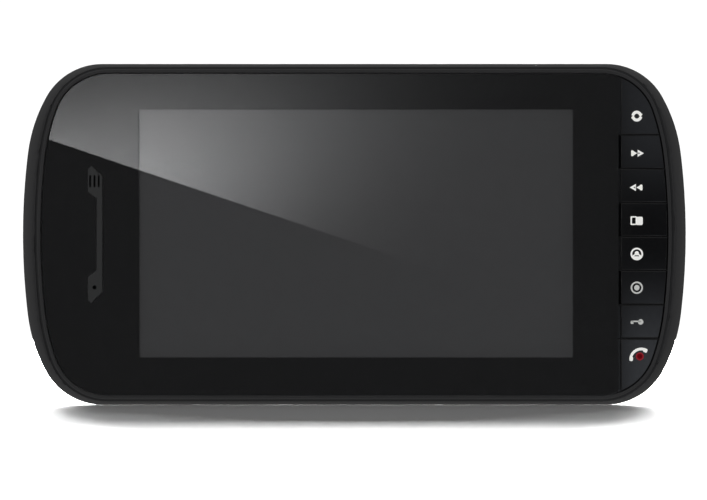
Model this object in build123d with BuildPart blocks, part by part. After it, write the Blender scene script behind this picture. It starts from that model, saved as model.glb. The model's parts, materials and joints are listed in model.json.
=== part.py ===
from build123d import *
import math
import os

# A wall-mounted video intercom monitor, in millimetres.
# +Z is up, the front faces -Y and +X is to the viewer's right.
# The origin lies on the wall, at the centre of the wall bracket's four screw holes.
# Every "depth" is a distance in front of the wall, so a piece at depth d lies at y = -d.

os.makedirs("parts", exist_ok=True)

# ---------------------------------------------------------------- case outlines
# Each quarter of an outline is three tangent arcs: the long end arc, a shoulder and the corner.
# (half width, half height, corner centre x, corner radius, corner turn in degrees, end arc radius)
WIDEST = (116.5, 59.9, 88.6, 22.5, 29.3, 232.7)
FRONT = (111.6, 58.2, 86.3, 21.1, 19.6, 248.5)
# Half sizes that reach past every outline, and how far a cutting solid runs past a face.
FAR_X, FAR_Z = 120.0, 60.0
PAST = 1.0

# ---------------------------------------------------------------- depths through the case
RIM_DEPTH = 24.6
LIP_DEPTH = 25.5
WIDEST_DEPTH = 19.0
SEAM_DEPTH = 12.0
SEAM_GAP = 0.35
BACK_DEPTH = 0.5
LENS_DEPTH = 25.0
LENS_THICK = 1.8
UNDER_LENS = 0.2
PRINT_THICK = 0.15
LENS_FOOT = 0.25
LENS_PLAY = 0.08
LENS_EDGE = 0.12
PRINT_PLAY = 0.03
DECK_THICK = 1.5
GASKET_THICK = 0.5
DISPLAY_THICK = 5.7
CHASSIS_THICK = 1.0
STANDOFF_HEIGHT = 2.4
BOARD_THICK = 1.6
WALL = 2.1

lens_back = LENS_DEPTH - LENS_THICK
deck_depth = lens_back - UNDER_LENS
deck_back = deck_depth - DECK_THICK
display_depth = deck_back - GASKET_THICK
chassis_depth = display_depth - DISPLAY_THICK
chassis_back = chassis_depth - CHASSIS_THICK
board_depth = chassis_back - STANDOFF_HEIGHT
board_back = board_depth - BOARD_THICK

# ---------------------------------------------------------------- front bezel
GROOVE_HALF = 0.4
GROOVE_DEEP = 1.3
PANEL_INSET = 1.6
RIM_BLEND = 0.93
BEZEL_CAVITY_INSET = 2.6
LIP_ROUND = 0.45

# ---------------------------------------------------------------- display window, seen through the lens
WINDOW_LEFT, WINDOW_RIGHT = -75.6, 76.7
WINDOW_LOW, WINDOW_HIGH = -43.2, 43.9
window_x = (WINDOW_LEFT + WINDOW_RIGHT) / 2
window_z = (WINDOW_LOW + WINDOW_HIGH) / 2
window_w = WINDOW_RIGHT - WINDOW_LEFT
window_h = WINDOW_HIGH - WINDOW_LOW
DECK_WINDOW_MARGIN = 1.4

# ---------------------------------------------------------------- keys
KEY_NAMES = ("swap", "next", "previous", "pictures", "record", "view", "unlock", "talk")
LENS_RIGHT = 92.9
KEY_LEFT = 93.4
KEY_PITCH = 11.9
KEY_TOP_GAP_Z = 34.9
KEY_GAP = 0.35
KEY_X = 99.2
KEY_TRAVEL = 0.5
KEY_EDGE = 0.35
KEY_PLAY = 0.25
FLANGE_REACH = 0.8
FLANGE_UNDER_LENS = 0.5
FLANGE_THICK = 1.0
key_face = LENS_DEPTH - 0.05
key_back = 22.5
flange_back = key_back - FLANGE_THICK
GUIDE_FRONT = flange_back - KEY_TRAVEL - 0.4
GUIDE_THICK = 1.2
GUIDE_HALF_HEIGHT = 55.0
RIB_HALF_HEIGHT = 52.0
KEY_SCREW_R = 0.9
STEM_W, STEM_H = 5.0, 3.0
STEM_CLEARANCE = 0.15
stem_end = 19.0
SWITCH_SIZE = 6.0
SWITCH_HEIGHT = 3.5
PLUNGER_R = 1.7
PLUNGER_CLEARANCE = 0.05
KEY_BOARD_DEPTH = 14.8
switch_front = KEY_BOARD_DEPTH + SWITCH_HEIGHT
plunger_end = KEY_BOARD_DEPTH + 2.2
bore_end = plunger_end - KEY_TRAVEL - 0.3
KEY_BOARD_LEFT, KEY_BOARD_RIGHT = 93.2, 105.2
KEY_BOARD_HALF_HEIGHT = 46.5
GUIDE_LEFT = LENS_RIGHT - 2.6
KEY_POST_R = 2.2
STEM_CUT_W = STEM_W + 2 * STEM_CLEARANCE
STEM_CUT_H = STEM_H + 2 * STEM_CLEARANCE
key_top_z = KEY_TOP_GAP_Z + KEY_PITCH / 2
key_centres = [key_top_z - KEY_PITCH * row for row in range(len(KEY_NAMES))]
key_post_z = [KEY_TOP_GAP_Z - KEY_PITCH * row for row in (1, 3, 5)]

# ---------------------------------------------------------------- handset inlay
HANDSET_LEFT, HANDSET_RIGHT, HANDSET_STEM = -93.5, -88.2, -90.4
HANDSET_HALF_LENGTH = 24.3
HANDSET_CHAMFER_Z = 20.2
HANDSET_EAR_Z, HANDSET_EAR_ROOT_Z = 14.8, 12.6
HANDSET_DEPTH = LENS_DEPTH - 0.35
HANDSET_CLEARANCE = 0.1
HANDSET_FLANGE = 1.4
HANDSET_FLANGE_THICK = 0.8
SOUND_SLOT = (0.7, 4.2)
SOUND_PITCH = 1.5
SOUND_Z = 18.6
MIC_HOLE_R = 0.7
MIC_Z = -18.6
handset_x = (HANDSET_LEFT + HANDSET_STEM) / 2 + 0.9

# ---------------------------------------------------------------- display module
DISPLAY_W, DISPLAY_H = 165.0, 100.0
SURROUND_THICK = 0.4
CELL_THICK = 1.9
TAIL_WIDTH = 30.0
TAIL_X = 30.0
TAIL_THICK = 0.3

# ---------------------------------------------------------------- chassis, main board and their fixings
CHASSIS_W, CHASSIS_H = 166.0, 101.0
CHASSIS_POST_X = (-60.0, 0.0, 60.0)
CHASSIS_POST_Z = 53.9
POST_R = 2.7
POST_BORE_R = 1.05
BOARD_W, BOARD_H = 140.0, 80.0
BOARD_X = 2.0
BOARD_HOLE_INSET = 4.0
STANDOFF_R = 2.5

# ---------------------------------------------------------------- loudspeaker and microphone
SPEAKER_W, SPEAKER_H = 20.0, 30.0
SPEAKER_X, SPEAKER_Z = -96.5, 17.0
SPEAKER_DEEP = 4.6
MAGNET_R = 7.0
MAGNET_DEEP = 2.4
MIC_R = 3.0
MIC_DEEP = 4.0
GROMMET_R = 4.3
MIC_RIB_TALL = 3.5

# ---------------------------------------------------------------- rear cover
REAR_TAPER = 13.0
RECESS_LEFT_RIGHT = 58.5
RECESS_LOW, RECESS_HIGH = -36.5, 29.5
RECESS_FLOOR = 4.0
FLOOR_THICK = 2.0
WIRING_W, WIRING_H = 38.0, 20.0
TONGUE_TOP = 13.0
TONGUE_THICK = 1.1
CASE_SCREW_X, CASE_SCREW_Z = 87.5, 46.0
CASE_POST_R = 3.2
CASE_BORE_R = 1.3
VENT_W, VENT_H, VENT_PITCH = 2.0, 7.2, 5.0
VENT_COUNT = 9
VENT_Z = 46.5

# ---------------------------------------------------------------- wall bracket
PLATE_W, PLATE_H, PLATE_THICK = 112.0, 56.0, 1.5
PLATE_CORNER = 6.0
WALL_SCREW_X, WALL_SCREW_Z = 50.0, 22.0
WALL_HOLE_R = 2.1
BOX_SCREW_X = 30.0
BOX_SLOT_LENGTH = 10.0
BRACKET_WINDOW_W, BRACKET_WINDOW_H = 40.0, 26.0
HOOK_X = 40.0
HOOK_TOPS = (17.0, -7.0)
HOOK_W = 8.0
HOOK_TIP = 6.0
HOOK_REACH = 7.8
SLOT_CLEARANCE = 1.6
LIFT = 7.0
SLOT_HEIGHT = LIFT + PLATE_THICK + 2.5
HOOK_CUT_HEIGHT = 12.0


# ---------------------------------------------------------------- shared shapes
def outline(blend, inset):
    """Face of the case outline: blend 0 is the widest one, 1 the front one; inset draws it in."""
    size = [wide + (front - wide) * blend for wide, front in zip(WIDEST, FRONT)]
    half_w, half_h, corner_x, corner_r, corner_turn, end_r = size
    half_w, half_h = half_w - inset, half_h - inset
    corner_r, end_r = corner_r - inset, end_r - inset
    corner = Vector(corner_x, half_h - corner_r)
    end = Vector(half_w - end_r, 0)
    turn = Vector(math.cos(math.radians(corner_turn)), math.sin(math.radians(corner_turn)))
    reach = corner + turn * corner_r - end
    shoulder_r = (reach.dot(reach) - end_r**2) / (2 * (reach.dot(turn) - end_r))
    shoulder = corner - turn * (shoulder_r - corner_r)
    end_turn = math.degrees(math.atan2(shoulder.Y - end.Y, shoulder.X - end.X))
    with BuildSketch() as face:
        with BuildLine():
            CenterArc(shoulder, shoulder_r, end_turn, corner_turn - end_turn)
            CenterArc(corner, corner_r, corner_turn, 90 - corner_turn)
            mirror(about=Plane.XZ)
            CenterArc(end, end_r, -end_turn, 2 * end_turn)
            mirror(about=Plane.YZ)
            Line((-corner.X, half_h), (corner.X, half_h))
            Line((-corner.X, -half_h), (corner.X, -half_h))
        make_face()
    return face.sketch


def shell(sections):
    """Solid that passes through the case outline at each (depth, blend, inset)."""
    with BuildPart() as solid:
        for depth, blend, inset in sections:
            with BuildSketch(Plane.XZ.offset(depth)):
                add(outline(blend, inset))
        loft()
    return solid.part


def slab(profile, back, front):
    """Solid of a flat profile between two depths."""
    with BuildPart() as solid:
        with BuildSketch(Plane.XZ.offset(back)):
            add(profile)
        extrude(amount=front - back)
    return solid.part


def block(x_range, z_range, back, front):
    """Rectangular solid between two x, two z and two depths."""
    with BuildSketch() as face:
        with Locations((sum(x_range) / 2, sum(z_range) / 2)):
            Rectangle(x_range[1] - x_range[0], z_range[1] - z_range[0])
    return slab(face.sketch, back, front)


def part_of_outline(blend, inset, x_range, z_range):
    """Face of a case outline, kept only inside a rectangle."""
    with BuildSketch() as face:
        add(outline(blend, inset))
        with Locations((sum(x_range) / 2, sum(z_range) / 2)):
            Rectangle(x_range[1] - x_range[0], z_range[1] - z_range[0], mode=Mode.INTERSECT)
    return face.sketch


def part_of_panel(inset, x_range=(-FAR_X, FAR_X), z_range=(-FAR_Z, FAR_Z)):
    """Face of the front panel outline, kept only inside a rectangle."""
    return part_of_outline(1, inset, x_range, z_range)


def handset(grow):
    """Face of the handset shape: a narrow stem with a head at each end, grown all round."""
    with BuildSketch() as face:
        with BuildLine():
            Polyline(
                (HANDSET_RIGHT, 0),
                (HANDSET_RIGHT, HANDSET_CHAMFER_Z),
                (HANDSET_LEFT + 1.3, HANDSET_HALF_LENGTH),
                (HANDSET_LEFT, HANDSET_HALF_LENGTH - 1.4),
                (HANDSET_LEFT, HANDSET_EAR_Z),
                (HANDSET_STEM, HANDSET_EAR_ROOT_Z),
                (HANDSET_STEM, 0),
            )
            mirror(about=Plane.XZ)
        make_face()
        corners = [corner for corner in face.vertices() if abs(corner.Y) > 1]
        fillet(corners, 0.6)
        if grow:
            offset(amount=grow)
    return face.sketch


def pin(x, z, radius, back, front):
    """Round solid along the depth direction."""
    with BuildSketch() as face:
        with Locations((x, z)):
            Circle(radius)
    return slab(face.sketch, back, front)


def screw(x, z, head_r, head_back, head_thick, shank_r, tip):
    """Pan-head screw driven forwards from the back, with a cross recess in its head."""
    seat = head_back + head_thick
    recess = head_back + head_thick * 0.45
    with BuildPart() as solid:
        add(pin(x, z, head_r, head_back, seat))
        fillet(solid.edges().group_by(Axis.Y)[-1], head_thick * 0.35)
        add(pin(x, z, shank_r, seat, tip))
        chamfer(solid.edges().group_by(Axis.Y)[0], shank_r * 0.4)
        for wide, high in ((1.3, 0.3), (0.3, 1.3)):
            arm_x, arm_z = head_r * wide / 2, head_r * high / 2
            add(
                block((x - arm_x, x + arm_x), (z - arm_z, z + arm_z), head_back - 1, recess),
                mode=Mode.SUBTRACT,
            )
    return solid.part


def lead(points, bend, radius):
    """Round cable through the points, with its bends as arcs."""
    with BuildPart() as solid:
        with BuildLine() as route:
            FilletPolyline(*points, radius=bend)
        with BuildSketch(Plane(route.line @ 0, z_dir=route.line % 0)):
            Circle(radius)
        sweep(path=route.line)
    return solid.part


corner_signs = [(-1, -1), (-1, 1), (1, -1), (1, 1)]

# ---------------------------------------------------------------- front bezel
# The flank rounds over from the widest outline to the rim like a quarter of an ellipse.
flank_turns = [0, 22, 42, 58, 70]
flank_rise = math.sin(math.radians(flank_turns[-1]))
flank_fall = 1 - math.cos(math.radians(flank_turns[-1]))
flank = [
    (
        WIDEST_DEPTH + (RIM_DEPTH - WIDEST_DEPTH) * math.sin(math.radians(turn)) / flank_rise,
        RIM_BLEND * (1 - math.cos(math.radians(turn))) / flank_fall,
        0,
    )
    for turn in flank_turns
]
bezel_solid = shell([(SEAM_DEPTH, 0, 0.5), ((SEAM_DEPTH + WIDEST_DEPTH) / 2, 0, 0.15)] + flank)
bezel_cavity = slab(outline(0, BEZEL_CAVITY_INSET), SEAM_DEPTH - 1, deck_back - 0.6)
bezel_shoulder = slab(outline(1, 1.4), deck_back - 0.7, deck_back)
panel_recess = slab(outline(1, PANEL_INSET), deck_depth, LIP_DEPTH + PAST)
lip_ring = slab(outline(1, GROOVE_HALF), RIM_DEPTH - 1.5, LIP_DEPTH)
groove_outer = slab(outline(1, -GROOVE_HALF), RIM_DEPTH - GROOVE_DEEP, RIM_DEPTH + PAST)

with BuildPart() as lip:
    add(lip_ring)
    add(slab(outline(1, PANEL_INSET), RIM_DEPTH - 2, LIP_DEPTH + 1), mode=Mode.SUBTRACT)
    fillet(lip.faces().sort_by(Axis.Y)[0].edges(), LIP_ROUND)

with BuildPart() as front_bezel:
    add(bezel_solid)
    add(groove_outer, mode=Mode.SUBTRACT)
    add(lip.part)
    add(panel_recess, mode=Mode.SUBTRACT)
    add(bezel_cavity, mode=Mode.SUBTRACT)
    add(bezel_shoulder, mode=Mode.SUBTRACT)
    # Display opening in the deck that carries the lens.
    margin = DECK_WINDOW_MARGIN
    add(
        block(
            (WINDOW_LEFT - margin, WINDOW_RIGHT + margin),
            (WINDOW_LOW - margin, WINDOW_HIGH + margin),
            deck_back - PAST,
            deck_depth + PAST,
        ),
        mode=Mode.SUBTRACT,
    )
    # Key column: open through the deck, and under the lip for the flanges that hold the caps in.
    key_span = (LENS_RIGHT - FLANGE_REACH, FAR_X)
    flange_room = part_of_panel(PANEL_INSET - FLANGE_REACH - 0.2, key_span)
    add(slab(flange_room, deck_back - PAST, key_back + 0.1), mode=Mode.SUBTRACT)
    add(slab(part_of_panel(PANEL_INSET, key_span), deck_back - PAST, deck_depth + PAST), mode=Mode.SUBTRACT)
    # Rib beside the keys, and the guide plate behind them that runs into the side wall.
    rib_x = (GUIDE_LEFT, LENS_RIGHT - FLANGE_REACH)
    add(block(rib_x, (-RIB_HALF_HEIGHT, RIB_HALF_HEIGHT), KEY_BOARD_DEPTH + 1, deck_back))
    guide_z = (-GUIDE_HALF_HEIGHT, GUIDE_HALF_HEIGHT)
    guide = part_of_outline(0, BEZEL_CAVITY_INSET - 0.3, (GUIDE_LEFT, FAR_X), guide_z)
    add(slab(guide, GUIDE_FRONT - GUIDE_THICK, GUIDE_FRONT))
    with BuildSketch(Plane.XZ.offset(stem_end - PAST)):
        for centre in key_centres:
            with Locations((KEY_X, centre)):
                Rectangle(STEM_CUT_W, STEM_CUT_H)
    extrude(amount=deck_back - stem_end + PAST, mode=Mode.SUBTRACT)
    for post_z in key_post_z:
        add(pin(KEY_X, post_z, KEY_POST_R, KEY_BOARD_DEPTH, GUIDE_FRONT - GUIDE_THICK))
        add(pin(KEY_X, post_z, KEY_SCREW_R, KEY_BOARD_DEPTH - PAST, GUIDE_FRONT - 0.4), mode=Mode.SUBTRACT)
    # Posts for the chassis plate and for the case screws.
    for post_x in CHASSIS_POST_X:
        for side in (-1, 1):
            post_z = side * CHASSIS_POST_Z
            add(pin(post_x, post_z, POST_R, chassis_depth, deck_back + 0.1))
            add(pin(post_x, post_z, POST_BORE_R, chassis_depth - PAST, deck_back - 1), mode=Mode.SUBTRACT)
    for side_x, side_z in corner_signs:
        post_x, post_z = side_x * CASE_SCREW_X, side_z * CASE_SCREW_Z
        add(pin(post_x, post_z, CASE_POST_R, SEAM_DEPTH + 0.3, deck_back + 0.1))
        add(pin(post_x, post_z, CASE_BORE_R, SEAM_DEPTH, deck_back - 1.5), mode=Mode.SUBTRACT)
    # Handset opening, the pocket for the inlay's flange, and the sound and microphone holes below it.
    add(slab(handset(2 * HANDSET_CLEARANCE), deck_back - PAST, deck_depth + PAST), mode=Mode.SUBTRACT)
    pocket_floor = deck_depth - HANDSET_FLANGE_THICK - HANDSET_CLEARANCE
    pocket = slab(handset(HANDSET_FLANGE + HANDSET_CLEARANCE), pocket_floor, deck_depth + PAST)
    add(pocket, mode=Mode.SUBTRACT)
    # Rib that holds the microphone's grommet.
    with BuildSketch(Plane.XZ.offset(deck_back - MIC_RIB_TALL)):
        with Locations((handset_x, MIC_Z)):
            Circle(GROMMET_R + 1.1)
            Circle(GROMMET_R + 0.05, mode=Mode.SUBTRACT)
    extrude(amount=MIC_RIB_TALL)
front_bezel.part.label = "front_bezel"
export_step(front_bezel.part, "parts/front_bezel.step")

# ---------------------------------------------------------------- lens and its print
# The lens stands on a foot round its edge, so that its back clears the print by a hair.
foot_inset = PANEL_INSET + LENS_PLAY + LENS_FOOT
under_lens = part_of_panel(foot_inset, (-FAR_X, LENS_RIGHT - LENS_FOOT))
with BuildPart() as front_lens:
    add(slab(part_of_panel(PANEL_INSET + LENS_PLAY, (-FAR_X, LENS_RIGHT)), deck_depth, LENS_DEPTH))
    chamfer(front_lens.faces().sort_by(Axis.Y)[0].edges(), LENS_EDGE)
    add(slab(under_lens, deck_depth - PAST, lens_back), mode=Mode.SUBTRACT)
    add(slab(handset(HANDSET_CLEARANCE), lens_back - PAST, LENS_DEPTH + PAST), mode=Mode.SUBTRACT)
front_lens.part.label = "front_lens"
export_step(front_lens.part, "parts/front_lens.step")

with BuildPart() as lens_print:
    print_right = LENS_RIGHT - LENS_FOOT - PRINT_PLAY
    print_face = part_of_panel(foot_inset + PRINT_PLAY, (-FAR_X, print_right))
    add(slab(print_face, deck_depth, deck_depth + PRINT_THICK))
    window = block((WINDOW_LEFT, WINDOW_RIGHT), (WINDOW_LOW, WINDOW_HIGH), deck_depth - PAST, lens_back)
    add(window, mode=Mode.SUBTRACT)
    add(slab(handset(HANDSET_CLEARANCE), deck_depth - PAST, lens_back), mode=Mode.SUBTRACT)
lens_print.part.label = "lens_print"
export_step(lens_print.part, "parts/lens_print.step")

# ---------------------------------------------------------------- handset inlay
with BuildPart() as handset_inlay:
    add(slab(handset(0), deck_back, HANDSET_DEPTH))
    chamfer(handset_inlay.faces().sort_by(Axis.Y)[0].edges(), 0.3)
    add(slab(handset(HANDSET_FLANGE), deck_depth - HANDSET_FLANGE_THICK, deck_depth))
    slot_w, slot_h = SOUND_SLOT
    with BuildSketch(Plane.XZ.offset(deck_back - PAST)):
        with Locations((handset_x, SOUND_Z)):
            with GridLocations(SOUND_PITCH, 0, 3, 1):
                SlotOverall(slot_h, slot_w, rotation=90)
        with Locations((handset_x, MIC_Z)):
            Circle(MIC_HOLE_R)
    extrude(amount=HANDSET_DEPTH, mode=Mode.SUBTRACT)
handset_inlay.part.label = "handset_inlay"
export_step(handset_inlay.part, "parts/handset_inlay.step")

# ---------------------------------------------------------------- keys and switches
key_gaps = [KEY_TOP_GAP_Z - KEY_PITCH * row for row in range(len(KEY_NAMES) - 1)]
key_edges = [FAR_Z] + key_gaps + [-FAR_Z]
for row, key_name in enumerate(KEY_NAMES):
    z_range = (key_edges[row + 1] + KEY_GAP / 2, key_edges[row] - KEY_GAP / 2)
    centre = key_centres[row]
    with BuildPart() as key_cap:
        add(slab(part_of_panel(PANEL_INSET + KEY_PLAY, (KEY_LEFT, FAR_X), z_range), key_back, key_face))
        fillet(key_cap.faces().sort_by(Axis.Y)[0].edges(), KEY_EDGE)
        flange_x = (LENS_RIGHT - FLANGE_UNDER_LENS, FAR_X)
        add(slab(part_of_panel(PANEL_INSET - FLANGE_REACH, flange_x, z_range), flange_back, key_back))
        stem_x = (KEY_X - STEM_W / 2, KEY_X + STEM_W / 2)
        add(block(stem_x, (centre - STEM_H / 2, centre + STEM_H / 2), stem_end, flange_back))
    key_cap.part.label = "key_cap_" + key_name
    export_step(key_cap.part, "parts/key_cap_" + key_name + ".step")

    with BuildPart() as switch_plunger:
        add(pin(KEY_X, centre, PLUNGER_R, plunger_end, stem_end))
        chamfer(switch_plunger.edges().group_by(Axis.Y)[0], 0.3)
    switch_plunger.part.label = "switch_plunger_" + key_name
    export_step(switch_plunger.part, "parts/switch_plunger_" + key_name + ".step")

with BuildPart() as tact_switches:
    for centre in key_centres:
        half = SWITCH_SIZE / 2
        switch_x = (KEY_X - half, KEY_X + half)
        add(block(switch_x, (centre - half, centre + half), KEY_BOARD_DEPTH, switch_front))
        plunger_bore = pin(KEY_X, centre, PLUNGER_R + PLUNGER_CLEARANCE, bore_end, switch_front + PAST)
        add(plunger_bore, mode=Mode.SUBTRACT)
    chamfer(tact_switches.edges().filter_by(Axis.Y), 0.4)
tact_switches.part.label = "tact_switches"
export_step(tact_switches.part, "parts/tact_switches.step")

with BuildPart() as key_board:
    key_board_z = (-KEY_BOARD_HALF_HEIGHT, KEY_BOARD_HALF_HEIGHT)
    key_board_back = KEY_BOARD_DEPTH - BOARD_THICK
    add(block((KEY_BOARD_LEFT, KEY_BOARD_RIGHT), key_board_z, key_board_back, KEY_BOARD_DEPTH))
    for post_z in key_post_z:
        add(pin(KEY_X, post_z, 1.1, key_board_back - 1, KEY_BOARD_DEPTH + 1), mode=Mode.SUBTRACT)
key_board.part.label = "key_board"
export_step(key_board.part, "parts/key_board.step")

with BuildPart() as key_board_screws:
    for post_z in key_post_z:
        add(screw(KEY_X, post_z, 1.9, key_board_back - 1.3, 1.3, 0.85, GUIDE_FRONT - 1.2))
key_board_screws.part.label = "key_board_screws"
export_step(key_board_screws.part, "parts/key_board_screws.step")

# Ribbon with its two sockets, from the key board's back to the main board's front.
ribbon_z = (key_post_z[1] + key_post_z[2]) / 2
ribbon_depth = board_depth + 0.5
with BuildPart() as key_ribbon:
    add(block((69.0, 96.0), (ribbon_z - 4, ribbon_z + 4), ribbon_depth, ribbon_depth + 0.3))
key_ribbon.part.label = "key_ribbon"
export_step(key_ribbon.part, "parts/key_ribbon.step")

with BuildPart() as ribbon_sockets:
    socket_z = (ribbon_z - 5.5, ribbon_z + 5.5)
    add(block((64.5, 69.0), socket_z, board_depth, board_depth + 1.2))
    add(block((96.0, 100.5), socket_z, ribbon_depth - 0.3, key_board_back))
ribbon_sockets.part.label = "ribbon_sockets"
export_step(ribbon_sockets.part, "parts/ribbon_sockets.step")

# ---------------------------------------------------------------- display module
display_x = (window_x - DISPLAY_W / 2, window_x + DISPLAY_W / 2)
display_z = (window_z - DISPLAY_H / 2, window_z + DISPLAY_H / 2)
SURROUND_WINDOW = (window_w + 2.4, window_h + 2.4)


def inner(span, inset):
    """Range drawn in at both ends."""
    return span[0] + inset, span[1] - inset


with BuildPart() as display_gasket:
    with BuildSketch(Plane.XZ.offset(display_depth)):
        with Locations((window_x, window_z)):
            Rectangle(window_w + 9, window_h + 7)
            Rectangle(window_w + 3.4, window_h + 3.4, mode=Mode.SUBTRACT)
    extrude(amount=GASKET_THICK)
display_gasket.part.label = "display_gasket"
export_step(display_gasket.part, "parts/display_gasket.step")

with BuildPart() as display_surround:
    add(block(display_x, display_z, chassis_depth, display_depth))
    add(
        block(
            inner(display_x, SURROUND_THICK),
            inner(display_z, SURROUND_THICK),
            chassis_depth - 1,
            display_depth - SURROUND_THICK,
        ),
        mode=Mode.SUBTRACT,
    )
    with BuildSketch(Plane.XZ.offset(display_depth - 1)):
        with Locations((window_x, window_z)):
            Rectangle(*SURROUND_WINDOW)
    extrude(amount=2, mode=Mode.SUBTRACT)
display_surround.part.label = "display_surround"
export_step(display_surround.part, "parts/display_surround.step")

cell_front = display_depth - SURROUND_THICK
with BuildPart() as display_cell:
    add(block(inner(display_x, 1.2), inner(display_z, 1.2), cell_front - CELL_THICK, cell_front))
display_cell.part.label = "display_cell"
export_step(display_cell.part, "parts/display_cell.step")

with BuildPart() as display_backlight:
    add(block(inner(display_x, 0.6), inner(display_z, 0.6), chassis_depth, cell_front - CELL_THICK))
display_backlight.part.label = "display_backlight"
export_step(display_backlight.part, "parts/display_backlight.step")

# Flexible tail: out of the display's lower edge, round the chassis and on to the main board.
tail_low = display_z[0] - 2.0
tail_front = display_depth - 3.0
tail_back = board_depth + 1.0
with BuildPart() as display_tail:
    with BuildSketch(Plane.YZ.offset(TAIL_X - TAIL_WIDTH / 2)):
        with BuildLine() as tail_line:
            FilletPolyline(
                (-tail_front, display_z[0] - TAIL_THICK / 2),
                (-tail_front, tail_low),
                (-tail_back, tail_low),
                (-tail_back, -BOARD_H / 2 + 6),
                radius=0.9,
            )
            offset(amount=TAIL_THICK / 2, side=Side.BOTH)
        make_face()
    extrude(amount=TAIL_WIDTH)
display_tail.part.label = "display_tail"
export_step(display_tail.part, "parts/display_tail.step")

# ---------------------------------------------------------------- chassis plate
board_holes = [
    (BOARD_X + sx * (BOARD_W / 2 - BOARD_HOLE_INSET), sz * (BOARD_H / 2 - BOARD_HOLE_INSET))
    for sx, sz in corner_signs
]
with BuildPart() as chassis_plate:
    with BuildSketch(Plane.XZ.offset(chassis_back)):
        with Locations((window_x, 0)):
            Rectangle(CHASSIS_W, CHASSIS_H)
        for post_x in CHASSIS_POST_X:
            with Locations((post_x, 0)):
                Rectangle(10, 2 * CHASSIS_POST_Z + 5)
        with Locations((-40, 0), (40, 0)):
            RectangleRounded(46, 18, 3, mode=Mode.SUBTRACT)
    extrude(amount=CHASSIS_THICK)
    for x, z in board_holes:
        add(pin(x, z, STANDOFF_R, board_depth, chassis_back))
        add(pin(x, z, 1.3, board_depth - 1, chassis_depth + 1), mode=Mode.SUBTRACT)
    for post_x in CHASSIS_POST_X:
        for side in (-1, 1):
            hole = pin(post_x, side * CHASSIS_POST_Z, 1.3, chassis_back - PAST, chassis_depth + PAST)
            add(hole, mode=Mode.SUBTRACT)
chassis_plate.part.label = "chassis_plate"
export_step(chassis_plate.part, "parts/chassis_plate.step")

with BuildPart() as chassis_screws:
    for post_x in CHASSIS_POST_X:
        for side in (-1, 1):
            add(screw(post_x, side * CHASSIS_POST_Z, 2.2, chassis_back - 1.5, 1.5, 1.0, deck_back - 2))
chassis_screws.part.label = "chassis_screws"
export_step(chassis_screws.part, "parts/chassis_screws.step")

# ---------------------------------------------------------------- main board
with BuildPart() as main_board:
    board_x = (BOARD_X - BOARD_W / 2, BOARD_X + BOARD_W / 2)
    add(block(board_x, (-BOARD_H / 2, BOARD_H / 2), board_back, board_depth))
    for x, z in board_holes:
        add(pin(x, z, 1.4, board_back - 1, board_depth + 1), mode=Mode.SUBTRACT)
    fillet(main_board.edges().filter_by(Axis.Y).filter_by(GeomType.LINE), 1.5)
main_board.part.label = "main_board"
export_step(main_board.part, "parts/main_board.step")

with BuildPart() as board_screws:
    for x, z in board_holes:
        add(screw(x, z, 2.4, board_back - 1.5, 1.5, 1.25, chassis_depth - 0.3))
board_screws.part.label = "board_screws"
export_step(board_screws.part, "parts/board_screws.step")

# (x, z, width, height, thickness) of each packaged chip on the back of the main board
CHIPS = (
    (-22.0, 24.0, 20.0, 14.0, 1.4),
    (10.0, 24.0, 14.0, 14.0, 1.2),
    (34.0, 26.0, 10.0, 8.0, 1.5),
    (-50.0, -20.0, 8.0, 8.0, 1.5),
    (8.0, -26.0, 10.0, 6.0, 1.5),
)
with BuildPart() as board_chips:
    for x, z, wide, high, thick in CHIPS:
        add(block((x - wide / 2, x + wide / 2), (z - high / 2, z + high / 2), board_back - thick, board_back))
board_chips.part.label = "board_chips"
export_step(board_chips.part, "parts/board_chips.step")

CAN_TALL = 3.7
CAN_SPOTS = ((56.0, 12.0), (56.0, 20.0), (-52.0, 26.0), (-24.0, -27.0), (-32.0, -27.0))
with BuildPart() as board_capacitors:
    for x, z in CAN_SPOTS:
        add(pin(x, z, 3.1, board_back - CAN_TALL, board_back))
    fillet(board_capacitors.edges().group_by(Axis.Y)[-1], 0.5)
board_capacitors.part.label = "board_capacitors"
export_step(board_capacitors.part, "parts/board_capacitors.step")

COIL_SPOTS = ((54.0, -14.0), (54.0, -27.0), (-54.0, 8.0))
with BuildPart() as board_coils:
    for x, z in COIL_SPOTS:
        add(block((x - 4, x + 4), (z - 4, z + 4), board_back - 3.6, board_back))
    chamfer(board_coils.edges().filter_by(Axis.Y), 1.2)
    for x, z in COIL_SPOTS:
        add(pin(x, z, 2.6, board_back - 5, board_back - 3.2), mode=Mode.SUBTRACT)
board_coils.part.label = "board_coils"
export_step(board_coils.part, "parts/board_coils.step")

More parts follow.
